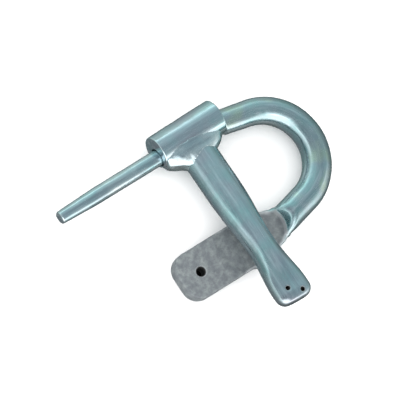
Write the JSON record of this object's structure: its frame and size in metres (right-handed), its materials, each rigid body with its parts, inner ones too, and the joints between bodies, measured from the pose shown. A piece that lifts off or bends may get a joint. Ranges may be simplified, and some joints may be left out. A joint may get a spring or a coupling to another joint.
{
  "type": "trailer coupler lock",
  "caption": "Coupler lock of plated steel: a forged ring bar with a flat drilled tang, a tapered lock pin, and a welded T-handle whose sleeve turns and slides on the pin.",
  "frame": {"origin": "on the lock pin's axis, where the pin's working length begins, just beyond the handle sleeve's free end", "axes": "+X along the pin to its tip, +Y from the pin to the flat tang, +Z square to the plane of the ring, away from the ground it lies on"},
  "size_m": [0.1768, 0.1343, 0.0333],
  "materials": {
    "forged_bar": "bright zinc on the round bar, dull grey forged flat",
    "turned_pin": "bright zinc plate over a turned surface",
    "handle_steel": "bright zinc plate with a blue-green tint",
    "weld_bead": "plated weld metal, softly rippled"
  },
  "bodies": {
    "ring_bar": {"u_bar": "forged_bar"},
    "pin": {"lock_pin": "turned_pin"},
    "t_handle": {"handle_sleeve": "handle_steel", "handle_tube": "handle_steel", "handle_weld": "weld_bead"}
  },
  "joints": [
    {"name": "handle_swing", "type": "hinge", "parent": "ring_bar", "child": "pin", "pos_m": [0, 0, 0], "axis": [1, 0, 0], "range_deg": [0, 327]},
    {"name": "handle_slide", "type": "slide", "parent": "pin", "child": "t_handle", "axis": [1, 0, 0], "range_m": [0, 0.126]}
  ]
}
